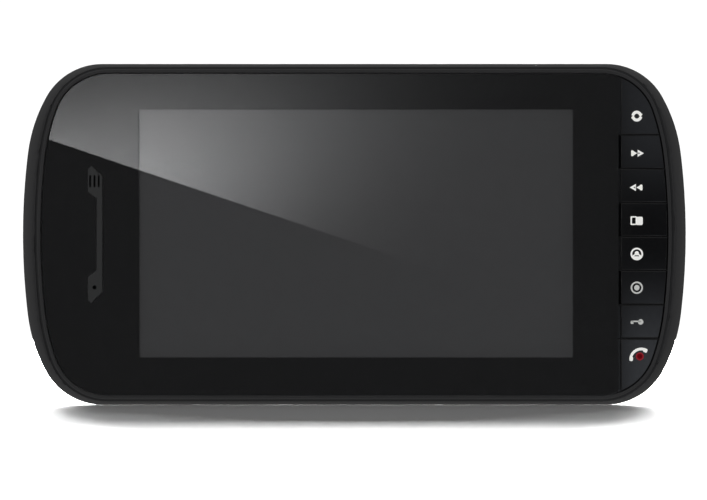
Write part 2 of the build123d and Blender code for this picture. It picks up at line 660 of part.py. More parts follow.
# Two rows of pin headers, shrouded on three sides, that the house wiring plugs into.
HEADER_SPOTS = ((-10.0, 5.0), (10.0, 5.0), (-10.0, -5.0), (10.0, -5.0))
HEADER_W, HEADER_H, HEADER_TALL = 14.0, 7.0, 5.2
HEADER_WALL = 0.9
PIN_COUNT, PIN_PITCH, PIN_WIDE = 4, 2.5, 0.64
header_end = board_back - HEADER_TALL
with BuildPart() as header_shrouds:
    for x, z in HEADER_SPOTS:
        half_w, half_h = HEADER_W / 2, HEADER_H / 2
        add(block((x - half_w, x + half_w), (z - half_h, z + half_h), header_end, board_back))
        inside_x = (x - half_w + HEADER_WALL, x + half_w - HEADER_WALL)
        inside_z = (z - half_h + HEADER_WALL, z + half_h - HEADER_WALL)
        add(block(inside_x, inside_z, 0, board_back - 1.2), mode=Mode.SUBTRACT)
        key_way = block((x - 3, x + 3), (z + half_h - PAST, z + half_h + PAST), 0, board_back - 2.4)
        add(key_way, mode=Mode.SUBTRACT)
        for index in range(PIN_COUNT):
            pin_x = x + (index - (PIN_COUNT - 1) / 2) * PIN_PITCH
            add(pin(pin_x, z, PIN_WIDE / 2 + 0.05, 0, board_depth), mode=Mode.SUBTRACT)
header_shrouds.part.label = "header_shrouds"
export_step(header_shrouds.part, "parts/header_shrouds.step")

with BuildPart() as header_pins:
    for x, z in HEADER_SPOTS:
        for index in range(PIN_COUNT):
            pin_x = x + (index - (PIN_COUNT - 1) / 2) * PIN_PITCH
            add(pin(pin_x, z, PIN_WIDE / 2, header_end + 0.6, board_back))
    chamfer(header_pins.edges().group_by(Axis.Y)[-1], 0.12)
header_pins.part.label = "header_pins"
export_step(header_pins.part, "parts/header_pins.step")

# ---------------------------------------------------------------- loudspeaker
speaker_back = display_depth - SPEAKER_DEEP


def speaker_oval(grow):
    """Face of the speaker's oval outline, grown all round."""
    with BuildSketch() as face:
        with Locations((SPEAKER_X, SPEAKER_Z)):
            SlotOverall(SPEAKER_H + 2 * grow, SPEAKER_W + 2 * grow, rotation=90)
    return face.sketch


with BuildPart() as speaker_basket:
    add(slab(speaker_oval(0), display_depth - 1.2, display_depth))
    add(slab(speaker_oval(-1.8), speaker_back, display_depth - 1.2))
    add(slab(speaker_oval(-2.6), speaker_back + 0.8, display_depth + 1), mode=Mode.SUBTRACT)
    add(pin(SPEAKER_X, SPEAKER_Z, 4.0, speaker_back - 1, speaker_back + 2), mode=Mode.SUBTRACT)
speaker_basket.part.label = "speaker_basket"
export_step(speaker_basket.part, "parts/speaker_basket.step")

with BuildPart() as speaker_cone:
    with BuildSketch(Plane.XZ.offset(display_depth - 0.5)):
        add(speaker_oval(-2.7))
    with BuildSketch(Plane.XZ.offset(display_depth - 2.4)):
        add(speaker_oval(-5.5))
    loft()
    with BuildSketch(Plane.XZ.offset(display_depth - 0.4)):
        add(speaker_oval(-3.1))
    with BuildSketch(Plane.XZ.offset(display_depth - 2.1)):
        add(speaker_oval(-5.7))
    loft(mode=Mode.SUBTRACT)
speaker_cone.part.label = "speaker_cone"
export_step(speaker_cone.part, "parts/speaker_cone.step")

with BuildPart() as speaker_magnet:
    add(pin(SPEAKER_X, SPEAKER_Z, MAGNET_R, speaker_back - MAGNET_DEEP, speaker_back))
    fillet(speaker_magnet.edges().group_by(Axis.Y)[-1], 0.4)
speaker_magnet.part.label = "speaker_magnet"
export_step(speaker_magnet.part, "parts/speaker_magnet.step")

with BuildPart() as speaker_gasket:
    add(slab(speaker_oval(0), display_depth, deck_back))
    add(slab(speaker_oval(-1.7), display_depth - 1, deck_back + 1), mode=Mode.SUBTRACT)
speaker_gasket.part.label = "speaker_gasket"
export_step(speaker_gasket.part, "parts/speaker_gasket.step")

# ---------------------------------------------------------------- microphone
mic_front = deck_back - 0.4
with BuildPart() as mic_grommet:
    add(pin(handset_x, MIC_Z, GROMMET_R, mic_front - MIC_DEEP - 0.6, deck_back))
    add(pin(handset_x, MIC_Z, MIC_R + 0.02, mic_front - MIC_DEEP - 2, mic_front), mode=Mode.SUBTRACT)
    add(pin(handset_x, MIC_Z, 1.4, mic_front - 1, deck_back + 1), mode=Mode.SUBTRACT)
mic_grommet.part.label = "mic_grommet"
export_step(mic_grommet.part, "parts/mic_grommet.step")

with BuildPart() as microphone:
    add(pin(handset_x, MIC_Z, MIC_R, mic_front - MIC_DEEP, mic_front))
    chamfer(microphone.edges().group_by(Axis.Y)[-1], 0.3)
microphone.part.label = "microphone"
export_step(microphone.part, "parts/microphone.step")

# Leads from the speaker and the microphone to the main board's left edge.
LEAD_R = 0.7
speaker_lead = lead(
    [
        (SPEAKER_X + 8.6, -(display_depth - 4.0), SPEAKER_Z - 8),
        (SPEAKER_X + 12.0, -(display_depth - 4.0), SPEAKER_Z - 8),
        (SPEAKER_X + 12.0, -(board_depth + 1.2), SPEAKER_Z - 8),
        (board_x[0] + 3, -(board_depth + 1.2), SPEAKER_Z - 8),
    ],
    1.6,
    LEAD_R,
)
speaker_lead.label = "speaker_lead"
export_step(speaker_lead, "parts/speaker_lead.step")

mic_lead = lead(
    [
        (handset_x, -(mic_front - MIC_DEEP), MIC_Z),
        (handset_x, -(board_depth + 1.2), MIC_Z),
        (board_x[0] + 3, -(board_depth + 1.2), MIC_Z),
    ],
    1.6,
    LEAD_R,
)
mic_lead.label = "mic_lead"
export_step(mic_lead, "parts/mic_lead.step")

# ---------------------------------------------------------------- rear cover
# Its side falls away from the seam to the flat back like a quarter of an ellipse.
rear_rim = SEAM_DEPTH - SEAM_GAP
rear_turns = [0, 20, 38, 54, 67]
rear_rise = math.sin(math.radians(rear_turns[-1]))
rear_fall = 1 - math.cos(math.radians(rear_turns[-1]))


def rear_sections(back, first_inset, taper):
    """Sections of the rear cover's side, from the seam down to the depth of its back."""
    return [
        (
            rear_rim - (rear_rim - back) * math.sin(math.radians(turn)) / rear_rise,
            0,
            first_inset + taper * (1 - math.cos(math.radians(turn))) / rear_fall,
        )
        for turn in rear_turns
    ]


rear_solid = shell(rear_sections(BACK_DEPTH, 0.6, REAR_TAPER))
rear_cavity = shell(rear_sections(BACK_DEPTH + WALL, 0.6 + WALL, REAR_TAPER))
recess_x = (-RECESS_LEFT_RIGHT, RECESS_LEFT_RIGHT)
recess_z = (RECESS_LOW, RECESS_HIGH)

with BuildPart() as rear_cover:
    add(rear_solid)
    add(rear_cavity, mode=Mode.SUBTRACT)
    # Tongue that locates the rim inside the bezel.
    add(slab(outline(0, 2.0), 9.0, rear_rim))
    add(slab(outline(0, BEZEL_CAVITY_INSET + 0.12), 9.0, TONGUE_TOP))
    tongue_inset = BEZEL_CAVITY_INSET + 0.12 + TONGUE_THICK
    add(slab(outline(0, tongue_inset), 8.0, TONGUE_TOP + 1), mode=Mode.SUBTRACT)
    # Recess that the wall bracket sits in.
    add(block(inner(recess_x, -2), inner(recess_z, -2), BACK_DEPTH + 1, RECESS_FLOOR + FLOOR_THICK))
    add(block(recess_x, recess_z, BACK_DEPTH - 1, RECESS_FLOOR), mode=Mode.SUBTRACT)
    # Case screw posts, open at the back for the screw heads.
    for side_x, side_z in corner_signs:
        post_x, post_z = side_x * CASE_SCREW_X, side_z * CASE_SCREW_Z
        add(pin(post_x, post_z, 4.6, BACK_DEPTH + 1.2, 7.0))
        add(pin(post_x, post_z, CASE_POST_R, 6.0, SEAM_DEPTH))
        add(pin(post_x, post_z, 3.3, BACK_DEPTH - 1, 5.0), mode=Mode.SUBTRACT)
        add(pin(post_x, post_z, 1.75, 4.0, SEAM_DEPTH + 1), mode=Mode.SUBTRACT)
    # Wiring window and the slots that drop on to the bracket's hooks.
    wiring_x = (-WIRING_W / 2, WIRING_W / 2)
    wiring_z = (-WIRING_H / 2, WIRING_H / 2)
    add(block(wiring_x, wiring_z, RECESS_FLOOR - 1, RECESS_FLOOR + FLOOR_THICK + 1), mode=Mode.SUBTRACT)
    for side in (-1, 1):
        for hook_top in HOOK_TOPS:
            slot_half = HOOK_W / 2 + SLOT_CLEARANCE
            slot_x = (side * HOOK_X - slot_half, side * HOOK_X + slot_half)
            slot_z = (hook_top + 0.1 - SLOT_HEIGHT, hook_top + 0.1)
            add(block(slot_x, slot_z, RECESS_FLOOR - 1, RECESS_FLOOR + FLOOR_THICK + 1), mode=Mode.SUBTRACT)
    # Cooling slots above the recess, and a matching row below it.
    with BuildSketch(Plane.XZ.offset(BACK_DEPTH - 1)):
        for side in (-1, 1):
            with Locations((0, side * VENT_Z)):
                with GridLocations(VENT_PITCH, 0, VENT_COUNT, 1):
                    SlotOverall(VENT_H, VENT_W, rotation=90)
    extrude(amount=WALL + 2, mode=Mode.SUBTRACT)
rear_cover.part.label = "rear_cover"
export_step(rear_cover.part, "parts/rear_cover.step")

with BuildPart() as case_screws:
    for side_x, side_z in corner_signs:
        add(screw(side_x * CASE_SCREW_X, side_z * CASE_SCREW_Z, 2.9, 3.0, 2.0, 1.25, deck_back - 2.5))
case_screws.part.label = "case_screws"
export_step(case_screws.part, "parts/case_screws.step")

# ---------------------------------------------------------------- wall bracket
with BuildPart() as wall_bracket:
    with BuildSketch(Plane.XZ):
        RectangleRounded(PLATE_W, PLATE_H, PLATE_CORNER)
        RectangleRounded(BRACKET_WINDOW_W, BRACKET_WINDOW_H, 3, mode=Mode.SUBTRACT)
        with GridLocations(2 * WALL_SCREW_X, 2 * WALL_SCREW_Z, 2, 2):
            Circle(WALL_HOLE_R, mode=Mode.SUBTRACT)
        with GridLocations(2 * BOX_SCREW_X, 0, 2, 1):
            SlotOverall(BOX_SLOT_LENGTH, 2 * WALL_HOLE_R, mode=Mode.SUBTRACT)
        # Each hook is bent out of the plate and leaves its own length open below it.
        for side in (-1, 1):
            for hook_top in HOOK_TOPS:
                with Locations((side * HOOK_X, hook_top - PLATE_THICK - HOOK_CUT_HEIGHT / 2)):
                    Rectangle(HOOK_W + 0.6, HOOK_CUT_HEIGHT, mode=Mode.SUBTRACT)
    extrude(amount=PLATE_THICK)
    for side in (-1, 1):
        for hook_top in HOOK_TOPS:
            with BuildSketch(Plane.YZ.offset(side * HOOK_X - HOOK_W / 2)):
                with BuildLine() as hook_line:
                    FilletPolyline(
                        (-PLATE_THICK / 2, hook_top - PLATE_THICK / 2),
                        (-HOOK_REACH + PLATE_THICK / 2, hook_top - PLATE_THICK / 2),
                        (-HOOK_REACH + PLATE_THICK / 2, hook_top + HOOK_TIP - PLATE_THICK / 2),
                        radius=1.0,
                    )
                    offset(amount=PLATE_THICK / 2, side=Side.BOTH)
                make_face()
            extrude(amount=HOOK_W)
wall_bracket.part.label = "wall_bracket"
export_step(wall_bracket.part, "parts/wall_bracket.step")
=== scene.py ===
import json
import math

import bpy
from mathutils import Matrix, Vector

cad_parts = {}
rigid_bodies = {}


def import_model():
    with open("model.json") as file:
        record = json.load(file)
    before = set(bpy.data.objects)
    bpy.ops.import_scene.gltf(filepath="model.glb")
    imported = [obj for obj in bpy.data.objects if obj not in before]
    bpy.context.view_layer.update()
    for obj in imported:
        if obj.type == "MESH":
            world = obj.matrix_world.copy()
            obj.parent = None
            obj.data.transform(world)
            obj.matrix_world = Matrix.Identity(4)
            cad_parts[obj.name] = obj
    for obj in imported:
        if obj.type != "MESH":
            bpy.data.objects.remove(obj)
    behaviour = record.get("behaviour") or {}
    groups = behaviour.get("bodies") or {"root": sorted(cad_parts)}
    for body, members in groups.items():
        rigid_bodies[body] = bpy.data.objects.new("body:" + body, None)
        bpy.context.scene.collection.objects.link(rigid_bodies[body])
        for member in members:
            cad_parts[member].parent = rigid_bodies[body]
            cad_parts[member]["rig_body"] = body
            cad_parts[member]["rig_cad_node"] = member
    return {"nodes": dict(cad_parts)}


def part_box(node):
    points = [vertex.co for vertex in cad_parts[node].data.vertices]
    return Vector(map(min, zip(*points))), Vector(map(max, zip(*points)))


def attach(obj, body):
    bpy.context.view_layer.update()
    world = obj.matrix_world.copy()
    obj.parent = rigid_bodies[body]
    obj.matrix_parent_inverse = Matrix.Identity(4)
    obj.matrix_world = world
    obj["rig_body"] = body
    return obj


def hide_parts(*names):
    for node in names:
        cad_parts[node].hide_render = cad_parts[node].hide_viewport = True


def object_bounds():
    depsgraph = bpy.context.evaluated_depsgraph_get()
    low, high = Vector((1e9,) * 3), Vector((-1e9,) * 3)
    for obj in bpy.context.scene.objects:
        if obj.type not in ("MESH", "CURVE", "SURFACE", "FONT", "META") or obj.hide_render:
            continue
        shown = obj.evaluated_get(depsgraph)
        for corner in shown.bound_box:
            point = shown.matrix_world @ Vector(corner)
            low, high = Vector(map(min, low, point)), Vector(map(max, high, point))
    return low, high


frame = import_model()
cad_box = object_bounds()
nodes = frame["nodes"]
MM = 0.001

# Key bodies from the top of the column to the bottom.
KEYS = ("swap", "next", "previous", "pictures", "record", "view", "unlock", "talk")


# ---------------------------------------------------------------- materials
def colour(hex_text):
    """Linear colour of an sRGB hex value."""
    parts = [int(hex_text[i:i + 2], 16) / 255 for i in (1, 3, 5)]
    return [c / 12.92 if c <= 0.04045 else ((c + 0.055) / 1.055) ** 2.4 for c in parts] + [1.0]


def add(tree, kind, inputs=None, **settings):
    """Adds a node; inputs holds values and the sockets that feed it."""
    node = tree.nodes.new("ShaderNode" + kind)
    for name, value in settings.items():
        setattr(node, name, value)
    for name, value in (inputs or {}).items():
        if isinstance(value, bpy.types.NodeSocket):
            tree.links.new(value, node.inputs[name])
        else:
            node.inputs[name].default_value = value
    return node


def new_material(name):
    """Empty material and its node tree, with Object coordinates ready to use."""
    material = bpy.data.materials.new(name)
    material.use_nodes = True
    tree = material.node_tree
    tree.nodes.clear()
    place = add(tree, "TexCoord").outputs["Object"]
    return material, tree, place


def end(tree, shader):
    """Connects the finished shader to the material's output."""
    add(tree, "OutputMaterial", {"Surface": shader.outputs[0]})


def grained_plastic(name, tint, tint_2, grain_mm, depth_mm, rough, rough_2):
    """Moulded plastic: the tool's grain as bump, with a little drift in colour and gloss."""
    material, tree, place = new_material(name)
    drift = add(tree, "TexNoise", {"Vector": place, "Scale": 1 / (30 * MM), "Detail": 3.0})
    tone = add(tree, "Mix", {0: drift.outputs["Fac"], 6: colour(tint), 7: colour(tint_2)}, data_type="RGBA")
    grain = add(tree, "TexNoise", {"Vector": place, "Scale": 1 / (grain_mm * MM), "Detail": 2.0})
    gloss = add(
        tree,
        "MapRange",
        {"Value": grain.outputs["Fac"], "From Min": 0.3, "From Max": 0.7, "To Min": rough, "To Max": rough_2},
    )
    bump = add(tree, "Bump", {"Height": grain.outputs["Fac"], "Strength": 0.5, "Distance": depth_mm * MM})
    shader = add(
        tree,
        "BsdfPrincipled",
        {
            "Base Color": tone.outputs[2],
            "Roughness": gloss.outputs[0],
            "Normal": bump.outputs[0],
            "IOR": 1.53,
        },
    )
    end(tree, shader)
    return material


def clear_acrylic():
    """Cast acrylic, polished and clear, with the least drift in tint.

    The ink and the display under it carry the gloss of its two faces, so it neither mirrors nor bends light.
    """
    material, tree, place = new_material("polished acrylic")
    cast = add(tree, "TexNoise", {"Vector": place, "Scale": 1 / (40 * MM), "Detail": 1.0})
    tint = add(
        tree, "Mix", {0: cast.outputs["Fac"], 6: colour("#fafbfc"), 7: colour("#fdfdfd")}, data_type="RGBA"
    )
    shader = add(
        tree,
        "BsdfPrincipled",
        {"Base Color": tint.outputs[2], "Roughness": 0.0, "IOR": 1.0, "Transmission Weight": 1.0},
    )
    end(tree, shader)
    return material


def screen_ink():
    """Screen-printed black ink behind acrylic: dead black, with the shine of the pane's two faces."""
    material, tree, place = new_material("screen printed black ink")
    thickness = add(tree, "TexNoise", {"Vector": place, "Scale": 1 / (25 * MM), "Detail": 1.0})
    shades = {6: colour("#050506"), 7: colour("#080809")}
    tone = add(tree, "Mix", {0: thickness.outputs["Fac"], **shades}, data_type="RGBA")
    shader = add(
        tree,
        "BsdfPrincipled",
        {"Base Color": tone.outputs[2], "Roughness": 0.0, "IOR": 1.49, "Specular IOR Level": 1.0},
    )
    end(tree, shader)
    return material


def display_glass():
    """Liquid-crystal cell at rest: even dark grey, with the shine of its polariser and the pane's faces, and
    a faint painted glow that lifts its grey though no lamp lights it.
    """
    material, tree, place = new_material("liquid crystal cell with painted glow")
    across = add(tree, "Mapping", {"Vector": place, "Scale": [1 / (0.19 * MM)] * 3})
    rows = add(tree, "TexWave", {"Vector": across.outputs[0], "Scale": 0.5}, bands_direction="X")
    tone = add(
        tree, "Mix", {0: rows.outputs["Fac"], 6: colour("#2b2b2c"), 7: colour("#2f2f30")}, data_type="RGBA"
    )
    shader = add(
        tree,
        "BsdfPrincipled",
        {
            "Base Color": tone.outputs[2],
            "Roughness": 0.0,
            "IOR": 1.63,
            "Specular IOR Level": 1.0,
            # Painted glow: the cell at rest is lit by no lamp, and this faint emission lifts its grey.
            "Emission Color": colour("#c8c9cc"),
            "Emission Strength": 0.006,
        },
    )
    end(tree, shader)
    return material


def sheet_steel():
    """Galvanised sheet steel: zinc spangle with fine rolling lines."""
    material, tree, place = new_material("galvanised sheet steel")
    spangle = add(tree, "TexVoronoi", {"Vector": place, "Scale": 1 / (5 * MM)}, feature="F1")
    shades = {6: colour("#a9adb1"), 7: colour("#c3c6c9")}
    tone = add(tree, "Mix", {0: spangle.outputs["Color"], **shades}, data_type="RGBA")
    lines = add(tree, "Mapping", {"Vector": place, "Scale": (40.0, 4000.0, 4000.0)})
    rolling = add(tree, "TexNoise", {"Vector": lines.outputs[0], "Scale": 1.0, "Detail": 3.0})
    bump = add(tree, "Bump", {"Height": rolling.outputs["Fac"], "Strength": 0.25, "Distance": 0.01 * MM})
    shader = add(
        tree,
        "BsdfPrincipled",
        {"Base Color": tone.outputs[2], "Metallic": 1.0, "Roughness": 0.38, "Normal": bump.outputs[0]},
    )
    end(tree, shader)
    return material


def machined_metal(name, tint, rough):
    """Small turned or drawn metal parts, with fine tool marks."""
    material, tree, place = new_material(name)
    marks = add(tree, "TexNoise", {"Vector": place, "Scale": 1 / (0.2 * MM), "Detail": 4.0})
    gloss = add(
        tree, "MapRange", {"Value": marks.outputs["Fac"], "To Min": rough - 0.08, "To Max": rough + 0.08}
    )
    shader = add(
        tree,
        "BsdfPrincipled",
        {"Base Color": colour(tint), "Metallic": 1.0, "Roughness": gloss.outputs[0]},
    )
    end(tree, shader)
    return material


def circuit_board():
    """Glass-epoxy board under green solder mask, with copper tracks that show as a lighter green."""
    material, tree, place = new_material("green solder mask")
    flat = add(tree, "Mapping", {"Vector": place, "Rotation": (math.pi / 2, 0, 0), "Scale": [1 / MM] * 3})
    colours = {"Color1": colour("#0d5a33"), "Color2": colour("#0b4a2a"), "Mortar": colour("#2a7c4d")}
    grid = add(tree, "TexBrick", {"Vector": flat.outputs[0], "Scale": 0.35, "Mortar Size": 0.06, **colours})
    shader = add(
        tree, "BsdfPrincipled", {"Base Color": grid.outputs["Color"], "Roughness": 0.3, "Coat Weight": 0.3}
    )
    end(tree, shader)
    return material


def legend_ink(name, tint, glow):
    """Translucent ink of a key symbol, with a faint painted glow as if lit from inside the key."""
    material, tree, place = new_material(name)
    speckle = add(tree, "TexNoise", {"Vector": place, "Scale": 1 / (0.15 * MM)})
    tone = add(
        tree, "Mix", {0: speckle.outputs["Fac"], 6: colour(tint[0]), 7: colour(tint[1])}, data_type="RGBA"
    )
    shader = add(
        tree,
        "BsdfPrincipled",
        {
            "Base Color": tone.outputs[2],
            "Roughness": 0.5,
            # Painted glow: no lamp lights the key from inside, and this emission brightens the ink.
            "Emission Color": colour(tint[1]),
            "Emission Strength": glow,
        },
    )
    end(tree, shader)
    return material


satin_abs = grained_plastic("satin moulded abs", "#212122", "#242425", 0.5, 0.012, 0.36, 0.46)
satin_inlay = grained_plastic("satin moulded inlay", "#262627", "#292a2a", 0.5, 0.012, 0.4, 0.5)
cover_abs = grained_plastic("spark textured abs", "#1b1b1c", "#1f1f20", 0.9, 0.05, 0.5, 0.65)
key_abs = grained_plastic("polished black abs", "#060607", "#080809", 1.2, 0.003, 0.16, 0.2)
black_nylon = grained_plastic("black nylon", "#161617", "#1b1b1c", 0.4, 0.01, 0.5, 0.6)
pale_nylon = grained_plastic("natural nylon", "#cfc9b4", "#d8d2be", 0.4, 0.01, 0.4, 0.5)
foam = grained_plastic("closed cell foam", "#151516", "#1c1c1d", 0.4, 0.05, 0.8, 0.9)
rubber = grained_plastic("black rubber", "#111112", "#171718", 0.6, 0.02, 0.6, 0.7)
epoxy = grained_plastic("moulded chip epoxy", "#19191a", "#202021", 0.2, 0.01, 0.45, 0.55)
ferrite = grained_plastic("sintered ferrite", "#2c2c2e", "#363638", 0.5, 0.02, 0.5, 0.6)
paper = grained_plastic("coated cone paper", "#1d1d1e", "#28282a", 0.7, 0.03, 0.7, 0.8)
flex_film = grained_plastic("amber polyimide film", "#a0621c", "#b06f24", 0.8, 0.005, 0.2, 0.3)
diffuser = grained_plastic("white diffuser film", "#e4e4e2", "#ecece9", 0.3, 0.005, 0.4, 0.5)
acrylic = clear_acrylic()
ink = screen_ink()
cell = display_glass()
steel = sheet_steel()
zinc = machined_metal("zinc plated steel", "#b9bcc0", 0.34)
tin = machined_metal("tinned brass", "#c9c6bb", 0.25)
aluminium = machined_metal("drawn aluminium", "#c6c8ca", 0.3)
# The microphone's near-black tint is painted shade: it keeps the hole in front of it dark under the front
# fill.
mic_can_painted_shade = machined_metal("aluminium darkened as painted shade", "#2c2c2e", 0.45)
board_mask = circuit_board()
# The last figure of each ink is the strength of its painted glow.
legend_white = legend_ink("white legend ink", ("#d9d9d6", "#e6e6e3"), 0.3)
legend_dim = legend_ink("thinner white legend ink", ("#b4b5b3", "#c0c1be"), 0.2)
legend_red = legend_ink("red legend ink", ("#6a0c16", "#86121f"), 0.3)

node_finish = {
    "front_bezel": satin_abs,
    "rear_cover": cover_abs,
    "handset_inlay": satin_inlay,
    "front_lens": acrylic,
    "lens_print": ink,
    "display_cell": cell,
    "display_surround": steel,
    "display_backlight": diffuser,
    "display_gasket": foam,
    "display_tail": flex_film,
    "chassis_plate": steel,
    "wall_bracket": steel,
    "main_board": board_mask,
    "key_board": board_mask,
    "key_ribbon": flex_film,
    "ribbon_sockets": pale_nylon,
    "header_shrouds": pale_nylon,
    "header_pins": tin,
    "tact_switches": black_nylon,
    "board_chips": epoxy,
    "board_capacitors": aluminium,
    "board_coils": ferrite,
    "speaker_basket": black_nylon,
    "speaker_cone": paper,
    "speaker_magnet": ferrite,
    "speaker_gasket": foam,
    "microphone": mic_can_painted_shade,
    "mic_grommet": rubber,
    "mic_lead": rubber,
    "speaker_lead": rubber,
    "case_screws": zinc,
    "chassis_screws": zinc,
    "board_screws": zinc,
    "key_board_screws": zinc,
}
for key in KEYS:
    node_finish["key_cap_" + key] = key_abs
    node_finish["switch_plunger_" + key] = black_nylon
for name, material in node_finish.items():
    mesh = nodes[name].data
    mesh.materials.clear()
    mesh.materials.append(material)


# ---------------------------------------------------------------- smooth copies of the moulded shells
def deselect():
    """Clears the selection in Object mode."""
    if bpy.context.object and bpy.context.object.mode != "OBJECT":
        bpy.ops.object.mode_set(mode="OBJECT")
    bpy.ops.object.select_all(action="DESELECT")


def smooth_copy(name, angle):
    """Shown copy of a CAD node with its loose triangles joined and its curved faces shaded smooth."""
    source = nodes[name]
    body = source["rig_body"]
    copy = source.copy()
    copy.data = source.data.copy()
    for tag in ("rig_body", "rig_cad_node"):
        del copy[tag]
    copy.parent = None
    copy.name = name + "_shell"
    bpy.context.scene.collection.objects.link(copy)
    deselect()
    copy.select_set(True)
    bpy.context.view_layer.objects.active = copy
    bpy.ops.object.mode_set(mode="EDIT")
    bpy.ops.mesh.select_all(action="SELECT")
    bpy.ops.mesh.remove_doubles(threshold=0.001 * MM)
    bpy.ops.mesh.select_all(action="SELECT")
    bpy.ops.mesh.dissolve_limited(angle_limit=math.radians(0.1))
    bpy.ops.object.mode_set(mode="OBJECT")
    bpy.ops.object.shade_smooth_by_angle(angle=math.radians(angle))
    bpy.ops.object.modifier_add(type="WEIGHTED_NORMAL")
    copy.modifiers[-1].keep_sharp = True
    bpy.ops.object.modifier_apply(modifier=copy.modifiers[-1].name)
    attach(copy, body)
    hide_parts(name)
    return copy


for name in ["front_bezel", "rear_cover", "handset_inlay"] + ["key_cap_" + key for key in KEYS]:
    smooth_copy(name, 25)


# ---------------------------------------------------------------- key symbols
# Each symbol is a thin raised print on its cap; its shapes are placed in millimetres from its middle.
LEGEND_THICK = 0.06 * MM
# Symbols are placed from a line this far left of their keys' switches, in millimetres.
SYMBOL_LEFT = 0.25


def open_edit(piece):
    """Makes the piece the only selected one and selects its whole mesh in Edit mode."""
    deselect()
    piece.select_set(True)
    bpy.context.view_layer.objects.active = piece
    bpy.ops.object.mode_set(mode="EDIT")
    bpy.ops.mesh.select_all(action="SELECT")


def stand(piece, x, z, turn):
    """Stands a flat shape up to face the front, turned clockwise by an angle in degrees."""
    bpy.ops.object.mode_set(mode="OBJECT")
    piece.rotation_euler = (math.pi / 2, math.radians(turn), 0)
    piece.location = (x * MM, 0, z * MM)
    bpy.ops.object.transform_apply(location=True, rotation=True, scale=True)
    return piece


def disc(x, z, radius, corners=40, turn=0, hole=0):
    """Disc or regular polygon; a hole is given by its own radius, measured across flat sides."""
    deselect()
    bpy.ops.mesh.primitive_circle_add(vertices=corners, radius=radius * MM, fill_type="NGON")
    piece = bpy.context.object
    open_edit(piece)
    if hole:
        flat_radius = radius * math.cos(math.pi / corners)
        bpy.ops.mesh.inset(thickness=(flat_radius - hole) * MM)
        bpy.ops.mesh.delete(type="FACE")
    return stand(piece, x, z, turn)


def bar(x, z, wide, high, turn=0, soft=0.15):
    """Rectangle with softened corners."""
    deselect()
    bpy.ops.mesh.primitive_plane_add(size=MM)
    piece = bpy.context.object
    open_edit(piece)
    bpy.ops.transform.resize(value=(wide, high, 1))
    bpy.ops.mesh.bevel(affect="VERTICES", offset=soft * MM, segments=4)
    return stand(piece, x, z, turn)


def trim(piece, x, z, angle):
    """Keeps the part of a shape on the side of a line through (x, z) that the angle points to."""
    open_edit(piece)
    side = (math.cos(math.radians(angle)), 0, math.sin(math.radians(angle)))
    bpy.ops.mesh.bisect(plane_co=(x * MM, 0, z * MM), plane_no=side, clear_inner=True)
    bpy.ops.object.mode_set(mode="OBJECT")
    return piece


def print_on(key, name, z, ink_material, shapes, x=0.0):
    """Joins shapes into one print on a key cap; z counts from the key's switch, x from the symbols' line."""
    deselect()
    for shape in shapes:
        shape.select_set(True)
    legend = shapes[0]
    bpy.context.view_layer.objects.active = legend
    bpy.ops.object.join()
    legend.name = name
    bpy.ops.object.modifier_add(type="SOLIDIFY")
    legend.modifiers[-1].thickness = LEGEND_THICK
    legend.modifiers[-1].offset = 0
    bpy.ops.object.modifier_apply(modifier=legend.modifiers[-1].name)
    switch_low, switch_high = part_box("switch_plunger_" + key)
    cap_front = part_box("key_cap_" + key)[0].y
    centre = (switch_low + switch_high) / 2
    legend.location = (centre.x + (x - SYMBOL_LEFT) * MM, cap_front, centre.z + z * MM)
    bpy.ops.object.transform_apply(location=True, rotation=True, scale=True)
    legend.data.materials.append(ink_material)
    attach(legend, "key_" + key)
    return legend


def forward_mark(way):
    """Solid arrowhead with a chevron in front of it, pointing right for 1 and left for -1."""
    turn = 90 * way
    solid = disc(-1.15 * way, 0, 1.3, corners=3, turn=turn)
    block = bar(-1.55 * way, 0, 0.9, 2.0, soft=0.3)
    chevron = disc(0.75 * way, 0, 1.75, corners=3, turn=turn, hole=0.22)
    trim(chevron, 0.3 * way, 0, 90 - turn)
    return [solid, block, chevron]


# Two arrows that chase each other round a circle.
upper = trim(disc(0, 0, 1.9, hole=0.85), 0, 0.2, 90)
lower = trim(disc(0, 0, 1.9, hole=0.85), 0, -0.2, -90)
heads = [disc(1.3, 0.35, 0.85, corners=3, turn=180), disc(-1.3, -0.35, 0.85, corners=3)]
print_on("swap", "symbol_swap", 0.55, legend_white, [upper, lower] + heads)
print_on("next", "symbol_next", -0.55, legend_white, forward_mark(1))
print_on("previous", "symbol_previous", -0.65, legend_white, forward_mark(-1))

# Two pictures, one in front of the other.
pictures = [bar(-1.95, 0.0, 0.5, 3.0), bar(-1.1, 1.3, 2.0, 0.45), bar(-1.2, -1.3, 1.8, 0.45)]
pictures.append(bar(0.85, -0.1, 2.5, 2.9, soft=0.5))
print_on("pictures", "symbol_pictures", -0.35, legend_white, pictures)

# Film reel: a rim with a hub, and a solid lower half.
reel = [disc(0, 0, 2.2, hole=1.6), disc(0, 0.25, 0.75), bar(-0.95, -0.45, 1.7, 0.5, turn=-35)]
reel += [bar(0.95, -0.45, 1.7, 0.5, turn=35), trim(disc(0, 0, 1.75), 0, -0.85, -90)]
print_on("record", "symbol_record", -0.15, legend_white, reel)

# Lens: a ring with a bright middle.
print_on("view", "symbol_view", -0.05, legend_dim, [disc(0, 0, 2.15, hole=1.6), disc(0, 0, 0.95)])

# Door key lying on its side.
lying_key = [bar(-0.2, 0.2, 3.4, 0.5), bar(-1.65, -0.15, 1.0, 1.1, soft=0.3), disc(1.35, 0, 0.95)]
print_on("unlock", "symbol_unlock", -0.15, legend_dim, lying_key)

